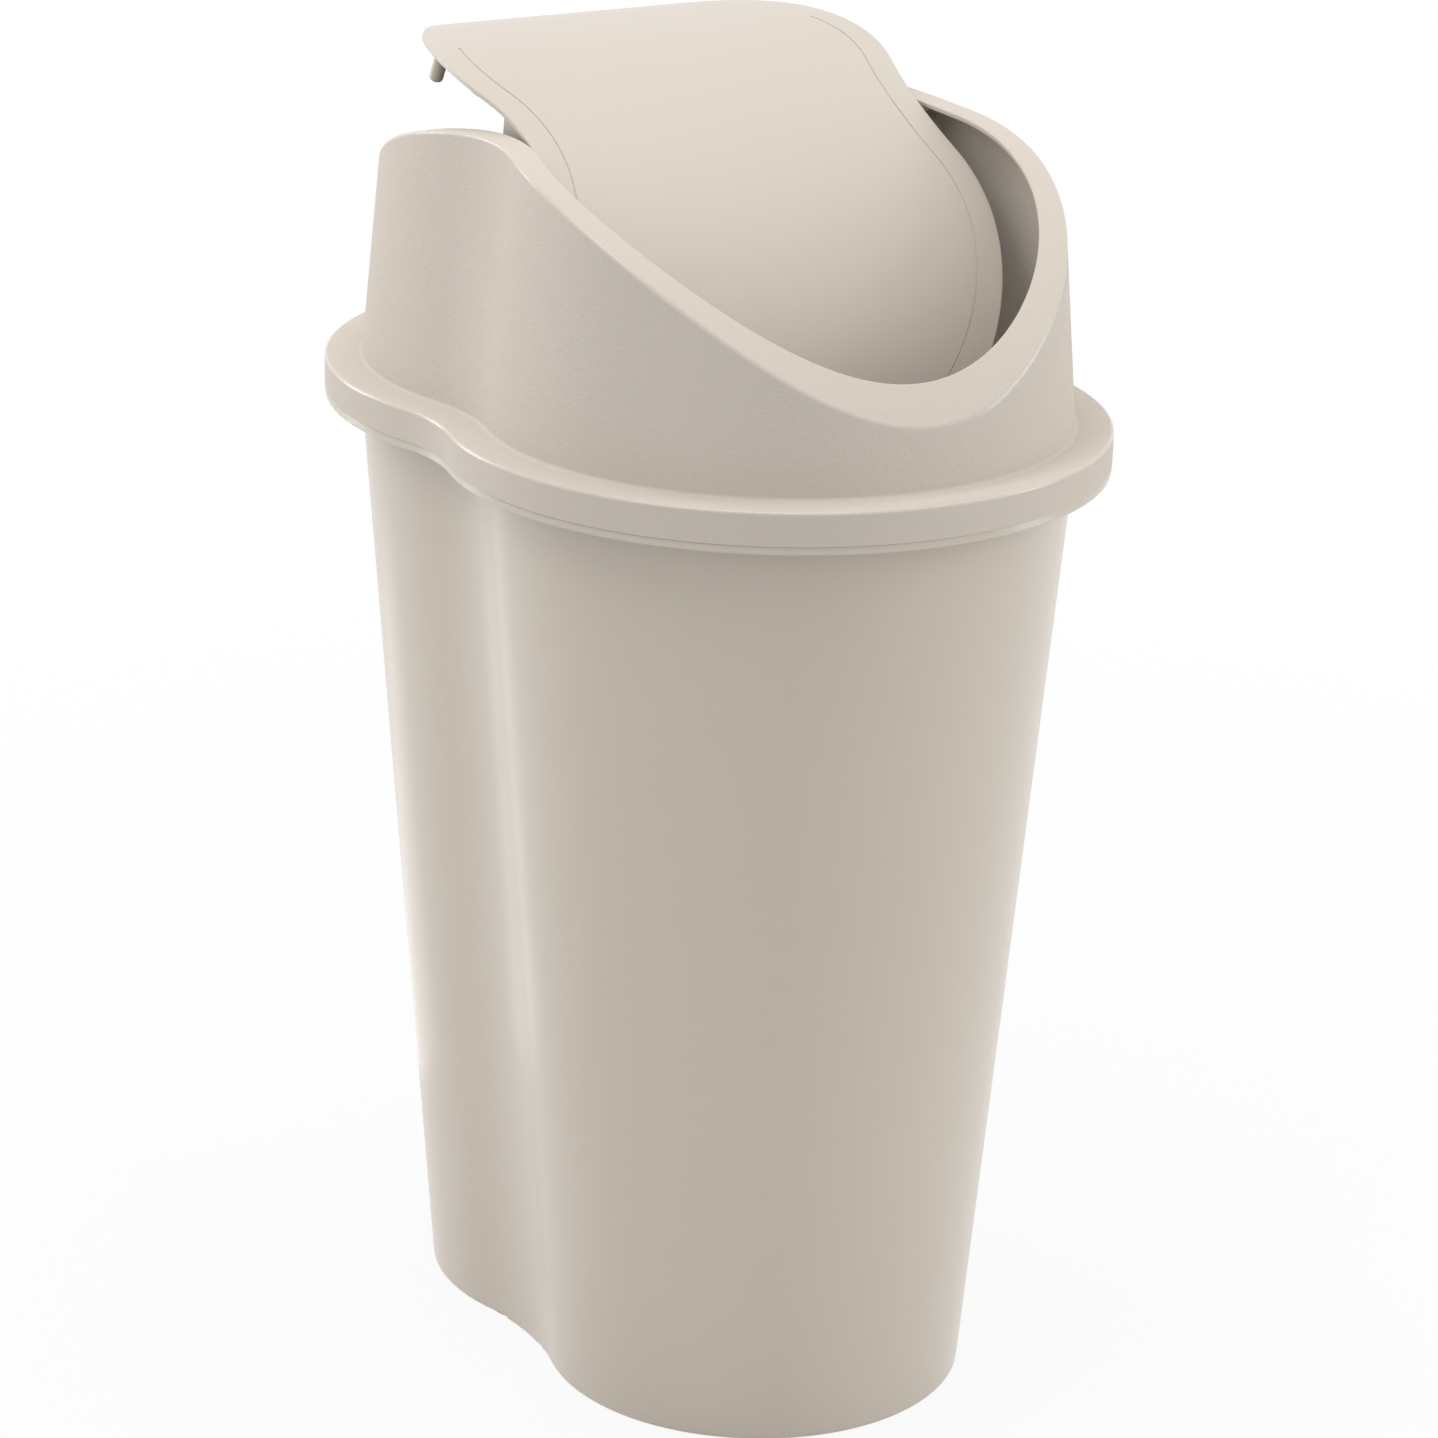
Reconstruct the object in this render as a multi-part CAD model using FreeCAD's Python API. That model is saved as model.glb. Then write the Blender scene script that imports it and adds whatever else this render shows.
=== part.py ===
"""Swing-lid waste bin: a tapered two-lobed bin, a lift-off hood and a flap that swings on two pins.

Millimetres, +Z up, X across the waist, Y along the two lobes with the front at -Y.
The origin is on the floor under the middle of the bin. The flap is drawn half open.
"""
import FreeCAD, Part
import math
import os

from FreeCAD import Vector

# Plan outline of the hood's skirt: two round lobes, joined by a hollow waist on each side
lobe_radius = 163.0
lobe_centre = 63.7
waist_radius = 92.5

# Bin, whose insets are measured inwards from the plan outline
bin_height = 497.3
bin_top_inset = 16.9
bin_base_inset = 56.9
bin_wall = 2.5
bin_floor = 3.0
bin_foot_round = 3.0
bin_floor_round = 8.0
bin_neck_round = 4.0
rim_drop = 17.8
rim_wall = 2.4
rim_round = 0.9
bead_top_inset = 0.6
bead_foot_inset = 0.1
bead_top_round = 0.25
bead_foot_round = 0.9
seam_gap = 0.2

# Hood, with heights measured from the top of its ledge
hood_height = 133.6
hood_front_height = 30.6
hood_foot_inset = 18.6
hood_lean_share = 0.088
hood_wall = 2.5
hood_foot_round = 1.6
hood_brow_round = 2.2
lip_width = 13.5
lip_wall = 2.6
lip_round = 0.7
skirt_height = 16.3
skirt_wall = 2.2
skirt_round = 1.6
skirt_clearance = 0.7
seat_clearance = 0.2

# Flap, drawn closed and then swung to its half-open place
flap_side_gap = 1.6
flap_rise = 2.5
flap_curl = 16.6
flap_wall = 2.2
flap_round = 0.8
flap_swing_angle = 27.8
groove_inset = 13.6
groove_width = 0.8
groove_depth = 0.4
groove_back_reach = 91.0

# Pivot pins, the lugs of the flap that hold them and the sockets in the hood's ears
pivot_drop = 19.1
pin_radius = 4.0
pin_clearance = 0.05
pin_round = 0.8
pin_end_gap = 1.0
pin_head_radius = 7.0
pin_head_height = 2.4
lug_wall = 4.0
lug_setback = 3.0
lug_half_length = 31.0
lug_foot_half_length = 19.0
lug_depth = 14.0
lug_round = 7.0
hub_radius = 7.5
socket_wall = 4.5
socket_gap = 0.5

# Pegs and crescent ribs under the flap, set in from its edge
peg_radius = 3.5
peg_length = 19.6
peg_setback = 8.7
peg_turn_angle = 19.0
peg_round = 1.6
rib_wall = 1.8
rib_setback = 6.0
rib_half_length = 15.5
rib_depth = 4.0
rib_place = 60.0

# Cuts run past the faces that they open by the overrun, and points this near count as touching
overrun = 5.0
touch = 0.01
probe_shares = (0.1, 0.5, 0.9)

X_AXIS = Vector(1, 0, 0)
Z_AXIS = Vector(0, 0, 1)
SIDES = {"left": -1, "right": 1}
ENDS = (-1, 1)


def bin_inset(height):
    """How far the bin's outer face lies inside the plan outline at one height."""
    return bin_base_inset + (bin_top_inset - bin_base_inset) * height / bin_height


def hood_inset(height):
    """How far the hood's outer face lies inside the plan outline at one height."""
    return hood_foot_inset + hood_lean_share * (height - ledge_top)


def mouth_inset(height):
    """How far the inner edge of the hood's lip lies inside the plan outline at one height."""
    return hood_inset(height) + lip_width


# Plan, worked out from the outline
tangent_reach = lobe_radius + waist_radius
waist_centre = math.sqrt(tangent_reach ** 2 - lobe_centre ** 2)
waist_half_width = waist_centre - waist_radius
half_length = lobe_centre + lobe_radius
rim_inset = skirt_wall + skirt_clearance

# Levels, from the rim up
rim_foot = bin_height - rim_drop
ledge_under = bin_height + seat_clearance
ledge_top = ledge_under + hood_wall
skirt_foot = ledge_top - skirt_height
bead_top = skirt_foot - seam_gap
hood_crown = ledge_top + hood_height
flap_crown = hood_crown + flap_rise
pivot_height = flap_crown - pivot_drop

# The vault over the hood is a round arch from the front edge over the crown to the back edge
brow_reach = half_length - hood_inset(ledge_top + hood_front_height)
brow_drop = hood_height - hood_front_height
vault_radius = (brow_reach ** 2 + brow_drop ** 2) / (2 * brow_drop)
vault_centre = hood_crown - vault_radius
flap_radius = vault_radius - flap_curl
flap_centre = flap_crown - flap_radius
flap_inset = mouth_inset(hood_crown) + flap_side_gap
flap_lobe_radius = lobe_radius - flap_inset

# Places along X where the flap is carried, on its right side
flap_half_width = waist_half_width - flap_inset
lug_outer = flap_half_width - lug_setback
lug_inner = lug_outer - lug_wall
socket_outer = waist_half_width - hood_inset(pivot_height)
socket_face = waist_half_width - mouth_inset(pivot_height)
socket_end = socket_outer - socket_wall
hub_face = socket_face - socket_gap
bore_radius = pin_radius + pin_clearance


def plan_inset(point):
    """How far a point lies inside the plan outline."""
    x = abs(point.x)
    y = abs(point.y)
    if x / waist_centre + y / lobe_centre < 1:
        return math.hypot(waist_centre - x, y) - waist_radius
    return lobe_radius - math.hypot(x, y - lobe_centre)


def plan_wire(inset, height):
    """The two-lobed outline, drawn in by an inset, at one height."""
    lobe = lobe_radius - inset
    touch_x = lobe * waist_centre / tangent_reach
    touch_y = lobe_centre - lobe * lobe_centre / tangent_reach
    end_y = lobe_centre + lobe
    side_x = waist_half_width - inset
    front_left = Vector(-touch_x, -touch_y, height)
    front_right = Vector(touch_x, -touch_y, height)
    back_right = Vector(touch_x, touch_y, height)
    back_left = Vector(-touch_x, touch_y, height)
    arcs = [
        Part.Arc(front_left, Vector(0, -end_y, height), front_right),
        Part.Arc(front_right, Vector(side_x, 0, height), back_right),
        Part.Arc(back_right, Vector(0, end_y, height), back_left),
        Part.Arc(back_left, Vector(-side_x, 0, height), front_left),
    ]
    return Part.Wire([arc.toShape() for arc in arcs])


def block(low_inset, low, high_inset, high):
    """A solid between two outlines at two heights, with straight sides."""
    return Part.makeLoft([plan_wire(low_inset, low), plan_wire(high_inset, high)], True, True)


def leaning_block(inset, extra, low, high):
    """A solid whose sides follow an inset that changes with height, and lie an extra inset inside it."""
    return block(inset(low) + extra, low, inset(high) + extra, high)


def barrel(radius, centre):
    """A long round bar across the bin, whose upper side is the arch of the hood or of the flap."""
    length = 2 * lobe_radius
    bar = Part.makeCylinder(radius, length, Vector(-lobe_radius, 0, centre), X_AXIS)
    bar.rotate(Vector(0, 0, centre), X_AXIS, 180)
    return bar


def cross_bar(radius, near, far, place=0, height=pivot_height):
    """A round bar along X, from one place along X to another."""
    return Part.makeCylinder(radius, abs(far - near), Vector(min(near, far), place, height), X_AXIS)


def edges_where(shape, test):
    """The edges of a shape whose points all pass a test."""
    found = []
    for edge in shape.Edges:
        first, last = edge.ParameterRange
        points = [edge.valueAt(first + (last - first) * share) for share in probe_shares]
        if all(test(point) for point in points):
            found.append(edge)
    return found


def level_edges(shape, height):
    """The edges that lie at one height."""
    return edges_where(shape, lambda point: abs(point.z - height) < touch)


def outline_edges(shape, height, inset):
    """The edges that follow the plan outline at one height and inset."""
    return edges_where(shape, lambda point: abs(point.z - height) < touch
                       and abs(plan_inset(point) - inset) < touch)


def arch_edges(shape, radius, centre, inset):
    """The edges where an arch meets sides that follow an inset changing with height."""
    return edges_where(shape, lambda point: abs(math.hypot(point.y, point.z - centre) - radius) < touch
                       and abs(plan_inset(point) - inset(point.z)) < touch)


def make_bin():
    """The bin: a drafted wall and floor, and an outward rim turned down to a bead under the skirt."""
    wall = leaning_block(bin_inset, 0, 0, bin_height)
    wall = wall.makeFillet(bin_foot_round, level_edges(wall, 0))
    rim = block(rim_inset, rim_foot, rim_inset, bin_height)
    rim = rim.makeFillet(rim_round, level_edges(rim, bin_height))
    bead = block(bead_foot_inset, rim_foot, bead_top_inset, bead_top)
    bead = bead.makeFillet(bead_foot_round, level_edges(bead, rim_foot))
    bead = bead.makeFillet(bead_top_round, level_edges(bead, bead_top))
    rim = rim.fuse(bead)
    pocket_inset = rim_inset + rim_wall
    pocket_top = bin_height - rim_wall
    rim = rim.cut(block(pocket_inset, rim_foot - overrun, pocket_inset, pocket_top))
    shell = wall.fuse(rim)
    neck = outline_edges(shell, pocket_top, bin_inset(pocket_top))
    shell = shell.makeFillet(bin_neck_round, neck)
    inside = leaning_block(bin_inset, bin_wall, bin_floor, bin_height + overrun)
    inside = inside.makeFillet(bin_floor_round, level_edges(inside, bin_floor))
    return shell.cut(inside)


def make_sockets():
    """A round socket inside each ear of the hood, with a blind bore for the pin."""
    within_wall = leaning_block(hood_inset, hood_wall / 2, ledge_top, hood_crown)
    sockets = []
    for side in SIDES.values():
        bar = cross_bar(bore_radius + socket_wall, side * socket_face, side * waist_half_width)
        bore = cross_bar(bore_radius, side * socket_face, side * socket_end)
        sockets.append((bar.common(within_wall), bore))
    return sockets


def make_hood():
    """The hood: a skirt over the bin's rim, a ledge, a leaning wall and an arched lip."""
    low = ledge_under - overrun
    high = hood_crown + overrun
    wall = leaning_block(hood_inset, 0, ledge_under, high).common(barrel(vault_radius, vault_centre))
    brow = arch_edges(wall, vault_radius, vault_centre, hood_inset)
    wall = wall.makeFillet(hood_brow_round, brow)
    skirt = block(0, skirt_foot, 0, ledge_top)
    skirt = skirt.makeFillet(skirt_round, level_edges(skirt, ledge_top))
    shell = skirt.fuse(wall)
    foot = outline_edges(shell, ledge_top, hood_inset(ledge_top))
    shell = shell.makeFillet(hood_foot_round, foot)
    shell = shell.cut(block(skirt_wall, skirt_foot - overrun, skirt_wall, ledge_under))
    inside = leaning_block(hood_inset, hood_wall, low, high)
    shell = shell.cut(inside.common(barrel(vault_radius - lip_wall, vault_centre)))
    shell = shell.cut(leaning_block(mouth_inset, 0, low, high))
    lip = arch_edges(shell, vault_radius, vault_centre, mouth_inset)
    lip += arch_edges(shell, vault_radius - lip_wall, vault_centre, mouth_inset)
    shell = shell.makeFillet(lip_round, lip)
    for socket, bore in make_sockets():
        shell = shell.fuse(socket).cut(bore)
    return shell


def make_lug(side):
    """A plate under one side of the flap, with a round hub that reaches to the hood's socket."""
    foot = pivot_height - lug_depth
    outline = [
        Vector(side * lug_inner, -lug_half_length, flap_crown),
        Vector(side * lug_inner, lug_half_length, flap_crown),
        Vector(side * lug_inner, lug_foot_half_length, foot),
        Vector(side * lug_inner, -lug_foot_half_length, foot),
    ]
    face = Part.Face(Part.makePolygon(outline + outline[:1]))
    plate = face.extrude(Vector(side * lug_wall, 0, 0))
    corners = edges_where(plate, lambda point: abs(point.z - foot) < touch
                          and abs(abs(point.y) - lug_foot_half_length) < touch)
    plate = plate.makeFillet(lug_round, corners)
    return plate.fuse(cross_bar(hub_radius, side * lug_inner, side * hub_face))


def underside(place):
    """The height of the closed flap's lower face at one place along Y."""
    return flap_centre + math.sqrt((flap_radius - flap_wall) ** 2 - place ** 2)


def make_peg(side, end):
    """A round-ended peg under one corner of the flap."""
    turn = math.radians(peg_turn_angle)
    reach = flap_lobe_radius - peg_setback
    place = lobe_centre + reach * math.sin(turn)
    foot = underside(place) - peg_length
    start = Vector(side * reach * math.cos(turn), end * place, foot)
    peg = Part.makeCylinder(peg_radius, flap_crown - foot, start, Z_AXIS)
    return peg.makeFillet(peg_round, level_edges(peg, foot))


def make_rib(side, end):
    """A shallow crescent rib under one side of the flap."""
    outer = flap_lobe_radius - rib_setback
    radius = (rib_half_length ** 2 + rib_depth ** 2) / (2 * rib_depth)
    height = underside(rib_place) - rib_depth + radius
    return cross_bar(radius, side * (outer - rib_wall), side * outer, end * rib_place, height)


def make_sheet():
    """The arched sheet of the closed flap, with a shallow groove along its sides and front."""
    high = flap_crown + overrun
    sheet = block(flap_inset, flap_centre, flap_inset, high).common(barrel(flap_radius, flap_centre))
    edge = arch_edges(sheet, flap_radius, flap_centre, lambda height: flap_inset)
    sheet = sheet.makeFillet(flap_round, edge)
    sheet = sheet.cut(barrel(flap_radius - flap_wall, flap_centre))
    outer_line = flap_inset + groove_inset
    inner_line = outer_line + groove_width
    groove = block(outer_line, flap_centre, outer_line, high)
    groove = groove.cut(block(inner_line, flap_centre, inner_line, high))
    grooved_length = half_length + groove_back_reach
    corner = Vector(-lobe_radius, -half_length, 0)
    groove = groove.common(Part.makeBox(2 * lobe_radius, grooved_length, high, corner))
    return sheet.cut(groove.cut(barrel(flap_radius - groove_depth, flap_centre)))


def make_flap():
    """The closed flap: the sheet, with a lug, two pegs and two ribs under each side."""
    flap = make_sheet()
    below = barrel(flap_radius - flap_wall / 2, flap_centre)
    for side in SIDES.values():
        details = [make_lug(side)]
        for end in ENDS:
            details.append(make_peg(side, end))
            details.append(make_rib(side, end))
        for detail in details:
            flap = flap.fuse(detail.common(below))
        flap = flap.cut(cross_bar(bore_radius, side * lug_inner, side * hub_face))
    return flap.removeSplitter()


def make_pin(side):
    """A headed pin, pushed outwards through a lug of the flap into a socket of the hood."""
    head_end = side * (lug_inner - pin_head_height)
    tip = side * (socket_end - pin_end_gap)
    head = cross_bar(pin_head_radius, head_end, side * lug_inner)
    head = head.makeFillet(pin_round, edges_where(head, lambda point: abs(point.x - head_end) < touch))
    shank = cross_bar(pin_radius, side * lug_inner, tip)
    shank = shank.makeFillet(pin_round, edges_where(shank, lambda point: abs(point.x - tip) < touch))
    return head.fuse(shank)


def swung(shape):
    """The shape turned about the pins, from closed to the place that the flap is drawn in."""
    turned = shape.copy()
    turned.rotate(Vector(0, 0, pivot_height), X_AXIS, flap_swing_angle)
    return turned


parts = {
    "bin_body": make_bin(),
    "lid_hood": make_hood(),
    "swing_flap": swung(make_flap()),
}
for name, side in SIDES.items():
    parts["pivot_pin_" + name] = swung(make_pin(side))

os.makedirs("parts", exist_ok=True)
for name, shape in parts.items():
    shape.exportStep("parts/" + name + ".step")
    print(name, "solids", len(shape.Solids), "valid", shape.isValid(), "volume", round(shape.Volume))
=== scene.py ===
"""Swing-lid waste bin: procedural plastics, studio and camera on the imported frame."""

import math
from typing import NamedTuple

import bpy
from mathutils import Matrix, Vector

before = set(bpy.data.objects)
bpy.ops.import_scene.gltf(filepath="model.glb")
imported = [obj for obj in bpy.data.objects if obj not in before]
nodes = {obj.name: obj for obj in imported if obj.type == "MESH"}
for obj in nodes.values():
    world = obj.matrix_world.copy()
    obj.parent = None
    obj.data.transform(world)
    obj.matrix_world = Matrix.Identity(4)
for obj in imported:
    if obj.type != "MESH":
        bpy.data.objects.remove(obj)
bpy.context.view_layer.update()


class Finish(NamedTuple):
    """Look of a moulding: linear RGB, roughness, and its grain in cells per metre and metres deep."""

    colour: tuple
    roughness: float
    grain: float
    grain_depth: float


# Beige plastics of the bin, of the hood and of the flap with its pins; the flap's beige is the hood's
# made about four per cent darker, painted shade for the flap sitting in the hood's mouth
BIN_FINISH = Finish((0.612, 0.548, 0.468), 0.25, 1300.0, 0.000005)
HOOD_FINISH = Finish((0.622, 0.561, 0.493), 0.90, 550.0, 0.0003)
FLAP_FINISH_PAINTED_SHADE = Finish((0.596, 0.538, 0.470), 0.46, 1300.0, 0.000006)
PLASTIC_IOR = 1.48

# Slow changes of colour, as a share of it, and of roughness, with their cells per metre
MOTTLE_SHARE = 0.015
MOTTLE_SCALE = 9.0
HAZE = 0.015
HAZE_SCALE = 25.0

# Height of the ledge between the hood's skirt and its wall, metres
LEDGE = 0.500

# Grain of the skirt as a share of the wall's, and how far under and over the ledge it changes
SKIRT_GRAIN_SHARE = 0.3
GRAIN_CHANGE_UNDER = 0.001
GRAIN_CHANGE_OVER = 0.002

# Arch of the hood's lip: height of its centre line and radius, metres
LIP_CENTRE = 0.37728
LIP_RADIUS = 0.25632

# Rounded edges of lip and skirt: where they end and begin under the top face, and their fade, metres
LIP_EDGE = (0.0012, 0.00012, 0.00005)
SKIRT_EDGE = (0.0016, 0.00006, 0.00004)
EDGE_ROUGHNESS = 0.24

# Floor: side in metres, grey, and the share of plain white near the object and away from it
FLOOR_SIDE = 24.0
FLOOR_GREY = 0.74
NEAR_WHITE_SHARE = 0.9
NEAR_REACH = 0.3
FAR_WHITE_SHARE = 1.0
FAR_REACH = 1.3

# Even light of the world, where 1 is white
AMBIENT = 0.67
WHITE = (1.0, 1.0, 1.0, 1.0)

# Rays that see the white surroundings
SEEN_RAYS = ("Is Camera Ray", "Is Glossy Ray", "Is Transmission Ray")

# Camera: turn and rise round the object, roll, distance, lens and sensor in mm, and the point it faces
CAMERA_TURN = math.radians(-30.551)
CAMERA_RISE = math.radians(19.410)
CAMERA_ROLL = math.radians(1.400)
CAMERA_DISTANCE = 2.4987
CAMERA_LENS = 123.2
CAMERA_SENSOR = 36.0
CAMERA_FAR_LIMIT = 60.0
CAMERA_TARGET = Vector((0.0092, 0.0, 0.3219))


def feed(tree, value, socket):
    """Sets a socket to a number, or links another socket to it."""
    if isinstance(value, float):
        socket.default_value = value
    else:
        tree.links.new(value, socket)


def noise(tree, place, scale, detail, rough):
    """Fractal noise in object space; scale is in cells per metre."""
    node = tree.nodes.new("ShaderNodeTexNoise")
    node.inputs["Scale"].default_value = scale
    node.inputs["Detail"].default_value = detail
    node.inputs["Roughness"].default_value = rough
    tree.links.new(place, node.inputs["Vector"])
    return node.outputs["Fac"]


def spread(tree, value, low, high, start=0.3, end=0.7):
    """Maps value from start..end to low..high, and no further."""
    node = tree.nodes.new("ShaderNodeMapRange")
    node.inputs["From Min"].default_value = start
    node.inputs["From Max"].default_value = end
    node.inputs["To Min"].default_value = low
    node.inputs["To Max"].default_value = high
    tree.links.new(value, node.inputs["Value"])
    return node.outputs["Result"]


def combine(tree, operation, first, second):
    """One sum of two values, each a socket or a number."""
    node = tree.nodes.new("ShaderNodeMath")
    node.operation = operation
    feed(tree, first, node.inputs[0])
    feed(tree, second, node.inputs[1])
    return node.outputs["Value"]


def object_place(tree):
    """Coordinates in the object's own space."""
    return tree.nodes.new("ShaderNodeTexCoord").outputs["Object"]


def height_of(tree, place):
    """Height above the floor, from object coordinates."""
    node = tree.nodes.new("ShaderNodeSeparateXYZ")
    tree.links.new(place, node.inputs["Vector"])
    return node.outputs["Z"]


def edge_band(tree, value, top, edge):
    """1 where value lies on a rounded edge under top, fading to 0 on both sides."""
    end, begin, fade = edge
    above = spread(tree, value, 0.0, 1.0, top - end - fade, top - end)
    below = spread(tree, value, 1.0, 0.0, top - begin, top - begin + fade)
    return combine(tree, "MINIMUM", above, below)


def hood_edges(tree, place):
    """1 on the rounded edges of the hood's lip and of its skirt, where the grain runs out."""
    across = tree.nodes.new("ShaderNodeVectorMath")
    across.operation = "MULTIPLY"
    across.inputs[1].default_value = (0.0, 1.0, 1.0)
    tree.links.new(place, across.inputs[0])
    reach = tree.nodes.new("ShaderNodeVectorMath")
    reach.operation = "DISTANCE"
    reach.inputs[1].default_value = (0.0, 0.0, LIP_CENTRE)
    tree.links.new(across.outputs["Vector"], reach.inputs[0])
    lip = edge_band(tree, reach.outputs["Value"], LIP_RADIUS, LIP_EDGE)
    skirt = edge_band(tree, height_of(tree, place), LEDGE, SKIRT_EDGE)
    return combine(tree, "MAXIMUM", lip, skirt)


def bump(tree, value, depth, strength):
    """Turns value into relief of the given depth in metres."""
    node = tree.nodes.new("ShaderNodeBump")
    node.inputs["Distance"].default_value = depth
    feed(tree, strength, node.inputs["Strength"])
    tree.links.new(value, node.inputs["Height"])
    return node.outputs["Normal"]


def plastic(name, finish, edges=None):
    """Moulded plastic with faint mottling and fine grain, and smooth edges where edges marks them."""
    material = bpy.data.materials.new(name)
    material.use_nodes = True
    tree = material.node_tree
    shader = tree.nodes["Principled BSDF"]
    shader.inputs["IOR"].default_value = PLASTIC_IOR
    place = object_place(tree)

    shade = tree.nodes.new("ShaderNodeMix")
    shade.data_type = "RGBA"
    for socket, factor in (("A", 1.0 - MOTTLE_SHARE), ("B", 1.0 + MOTTLE_SHARE)):
        shade.inputs[socket].default_value = (*[part * factor for part in finish.colour], 1.0)
    tree.links.new(noise(tree, place, MOTTLE_SCALE, detail=3.0, rough=0.5), shade.inputs["Factor"])
    tree.links.new(shade.outputs["Result"], shader.inputs["Base Color"])

    haze = noise(tree, place, HAZE_SCALE, detail=2.0, rough=0.5)
    roughness = spread(tree, haze, finish.roughness - HAZE, finish.roughness + HAZE)
    strength = 1.0
    if edges is not None:
        edge = edges(tree, place)
        change = (LEDGE - GRAIN_CHANGE_UNDER, LEDGE + GRAIN_CHANGE_OVER)
        wall = spread(tree, height_of(tree, place), SKIRT_GRAIN_SHARE, 1.0, *change)
        strength = combine(tree, "MULTIPLY", wall, combine(tree, "SUBTRACT", 1.0, edge))
        smoothing = combine(tree, "MULTIPLY", edge, finish.roughness - EDGE_ROUGHNESS)
        roughness = combine(tree, "SUBTRACT", roughness, smoothing)
    tree.links.new(roughness, shader.inputs["Roughness"])

    grain = noise(tree, place, finish.grain, detail=2.0, rough=0.6)
    relief = bump(tree, grain, finish.grain_depth, strength)
    tree.links.new(relief, shader.inputs["Normal"])
    return material


def dress(node, material):
    """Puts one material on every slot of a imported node."""
    for index in range(len(node.data.materials)):
        node.data.materials[index] = material


def seen_rays(tree):
    """1 for the rays that see the white surroundings, 0 for the rest."""
    path = tree.nodes.new("ShaderNodeLightPath")
    total = path.outputs[SEEN_RAYS[0]]
    for ray in SEEN_RAYS[1:]:
        total = combine(tree, "MAXIMUM", total, path.outputs[ray])
    return total


def glow(tree, kind, strength):
    """White light of the given strength from an emission or a background node."""
    node = tree.nodes.new(kind)
    node.inputs["Color"].default_value = WHITE
    node.inputs["Strength"].default_value = strength
    return node.outputs[0]


def blend(tree, share, first, second, output_kind):
    """Puts out first, with the given share of second in its place."""
    mix = tree.nodes.new("ShaderNodeMixShader")
    tree.links.new(share, mix.inputs["Fac"])
    tree.links.new(first, mix.inputs[1])
    tree.links.new(second, mix.inputs[2])
    output = tree.nodes.new(output_kind)
    tree.links.new(mix.outputs["Shader"], output.inputs["Surface"])


def make_floor():
    """Pale floor that is white to the camera but for a light contact shadow."""
    bpy.ops.mesh.primitive_plane_add(size=FLOOR_SIDE)
    floor = bpy.context.object
    floor.name = "floor"
    material = bpy.data.materials.new("pale_floor")
    material.use_nodes = True
    tree = material.node_tree
    tree.nodes.clear()
    diffuse = tree.nodes.new("ShaderNodeBsdfDiffuse")
    diffuse.inputs["Color"].default_value = (FLOOR_GREY, FLOOR_GREY, FLOOR_GREY, 1.0)
    reach = tree.nodes.new("ShaderNodeVectorMath")
    reach.operation = "LENGTH"
    tree.links.new(object_place(tree), reach.inputs[0])
    white = spread(tree, reach.outputs["Value"], NEAR_WHITE_SHARE, FAR_WHITE_SHARE, NEAR_REACH, FAR_REACH)
    share = combine(tree, "MULTIPLY", white, seen_rays(tree))
    emission = glow(tree, "ShaderNodeEmission", strength=1.0)
    blend(tree, share, diffuse.outputs["BSDF"], emission, "ShaderNodeOutputMaterial")
    floor.data.materials.append(material)


def make_world():
    """Even grey light all round, white to the camera and in reflections."""
    world = bpy.data.worlds.new("studio")
    bpy.context.scene.world = world
    world.use_nodes = True
    tree = world.node_tree
    tree.nodes.clear()
    dome = glow(tree, "ShaderNodeBackground", strength=AMBIENT)
    white = glow(tree, "ShaderNodeBackground", strength=1.0)
    blend(tree, seen_rays(tree), dome, white, "ShaderNodeOutputWorld")


def area_light(name, turn, reach, rise, width, height, power):
    """Rectangular light, in metres and watts, at a turn in degrees from the camera's side."""
    angle = CAMERA_TURN + math.radians(turn)
    data = bpy.data.lights.new(name, "AREA")
    data.shape = "RECTANGLE"
    data.size = width
    data.size_y = height
    data.energy = power
    light = bpy.data.objects.new(name, data)
    bpy.context.scene.collection.objects.link(light)
    light.location = (math.sin(angle) * reach, -math.cos(angle) * reach, rise)
    light.rotation_euler.z = angle
    return light


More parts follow.
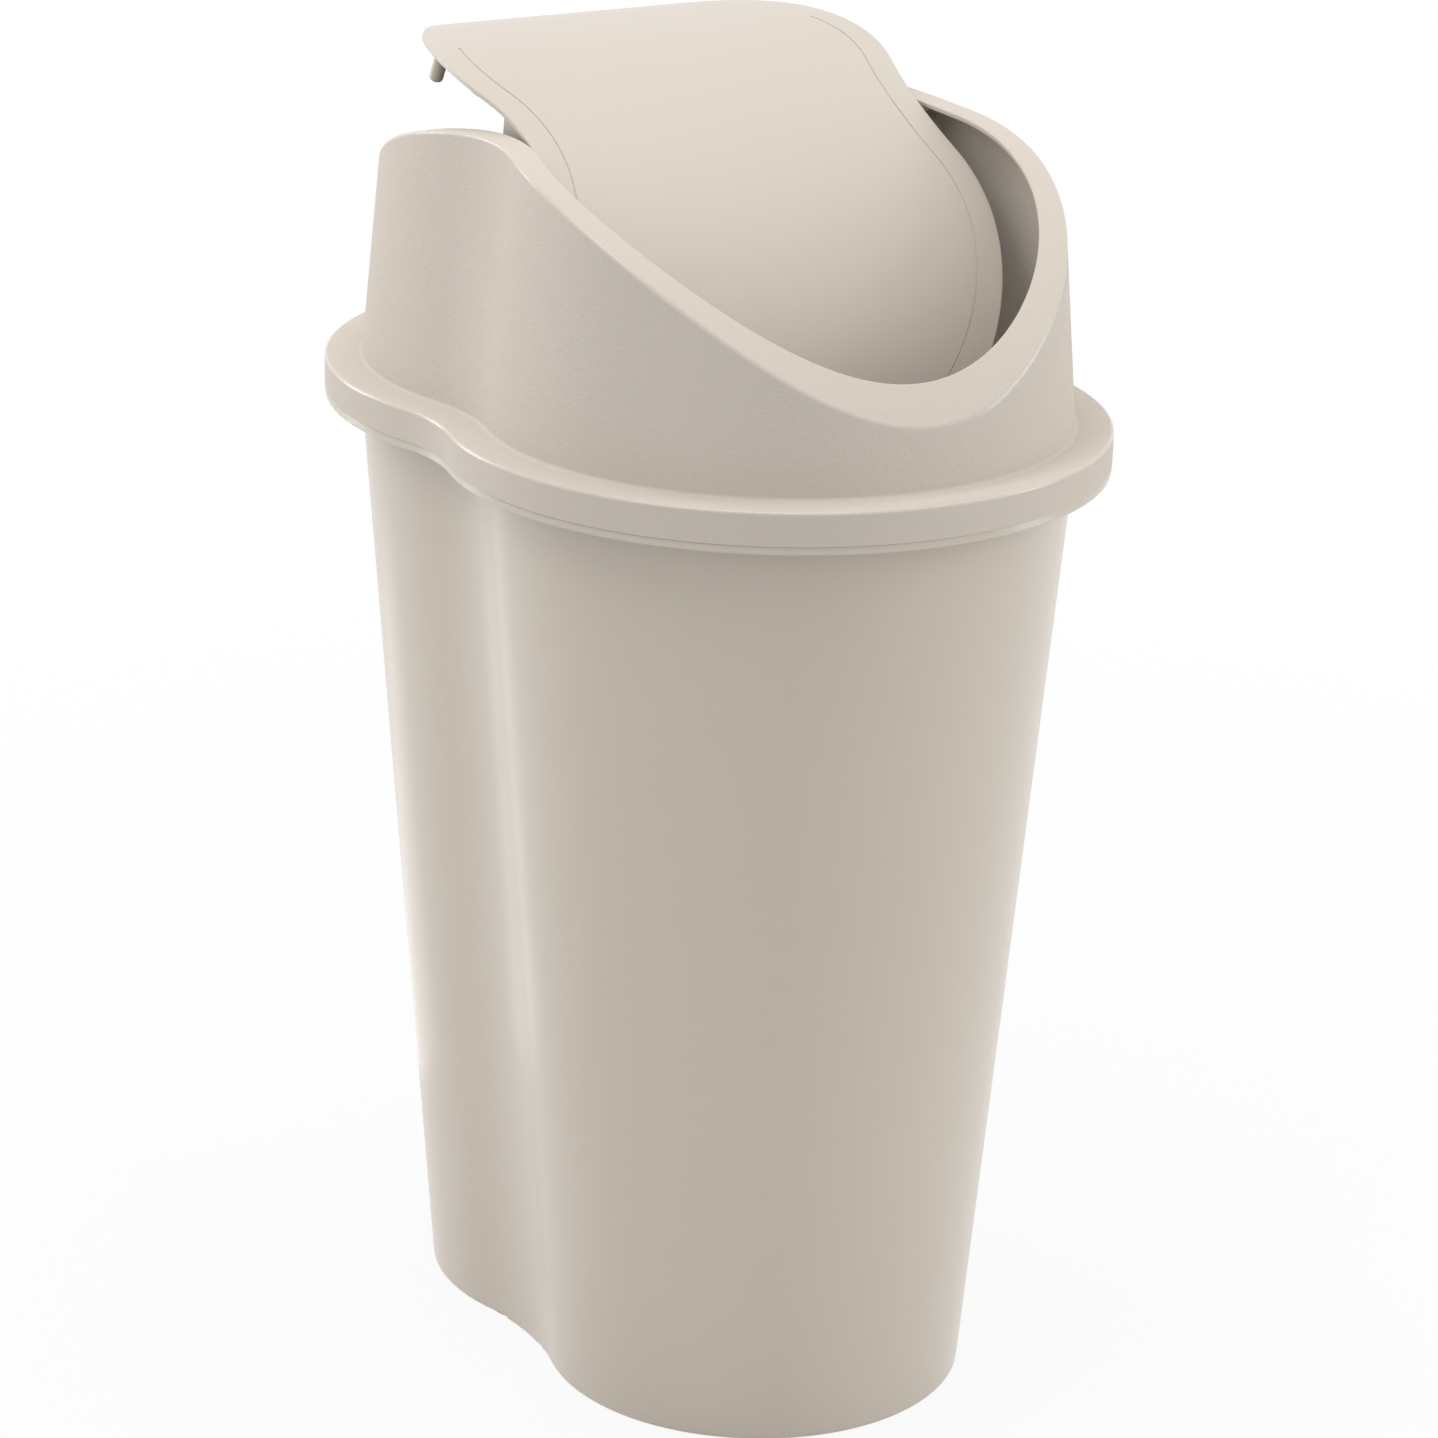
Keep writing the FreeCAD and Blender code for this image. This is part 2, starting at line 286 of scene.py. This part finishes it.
def softbox(name, **place):
    """Light that faces the object."""
    light = area_light(name, **place)
    light.rotation_euler = (CAMERA_TARGET - light.location).to_track_quat("-Z", "Y").to_euler()


def floor_card(name, **place):
    """Light that lies on the floor and faces up, out of the camera's sight."""
    light = area_light(name, **place)
    light.rotation_euler.x = math.pi
    light.visible_camera = False


def make_camera():
    """Camera from the turn, rise and roll above."""
    back = Vector((
        math.sin(CAMERA_TURN) * math.cos(CAMERA_RISE),
        -math.cos(CAMERA_TURN) * math.cos(CAMERA_RISE),
        math.sin(CAMERA_RISE),
    ))
    right = Vector((math.cos(CAMERA_TURN), math.sin(CAMERA_TURN), 0.0))
    up = back.cross(right)
    turn = Matrix((right, up, back)).transposed() @ Matrix.Rotation(CAMERA_ROLL, 3, "Z")
    data = bpy.data.cameras.new("camera")
    data.sensor_width = CAMERA_SENSOR
    data.lens = CAMERA_LENS
    data.clip_end = CAMERA_FAR_LIMIT
    camera = bpy.data.objects.new("camera", data)
    bpy.context.scene.collection.objects.link(camera)
    camera.matrix_world = Matrix.Translation(CAMERA_TARGET + back * CAMERA_DISTANCE) @ turn.to_4x4()
    bpy.context.scene.camera = camera


dress(nodes["bin_body"], plastic("bin_plastic", BIN_FINISH))
dress(nodes["lid_hood"], plastic("hood_plastic", HOOD_FINISH, hood_edges))
# The flap and its pins take the darker beige, which is painted shade
dress(nodes["swing_flap"], plastic("flap_plastic", FLAP_FINISH_PAINTED_SHADE))
pins_painted_shade = plastic("pin_plastic", FLAP_FINISH_PAINTED_SHADE)
dress(nodes["pivot_pin_left"], pins_painted_shade)
dress(nodes["pivot_pin_right"], pins_painted_shade)

make_floor()
make_world()
softbox("top_box", turn=0.0, reach=0.0, rise=2.4, width=1.0, height=1.0, power=12.0)
softbox("high_box", turn=-50.0, reach=1.2, rise=2.3, width=1.0, height=1.0, power=8.5)
softbox("left_box", turn=-120.0, reach=2.2, rise=0.9, width=0.6, height=1.6, power=15.5)
softbox("right_box", turn=90.0, reach=2.2, rise=0.9, width=0.6, height=1.6, power=14.0)
floor_card("floor_card", turn=-138.0, reach=0.79, rise=0.002, width=0.30, height=0.9, power=0.36)
make_camera()
bpy.context.scene.view_settings.view_transform = "Standard"
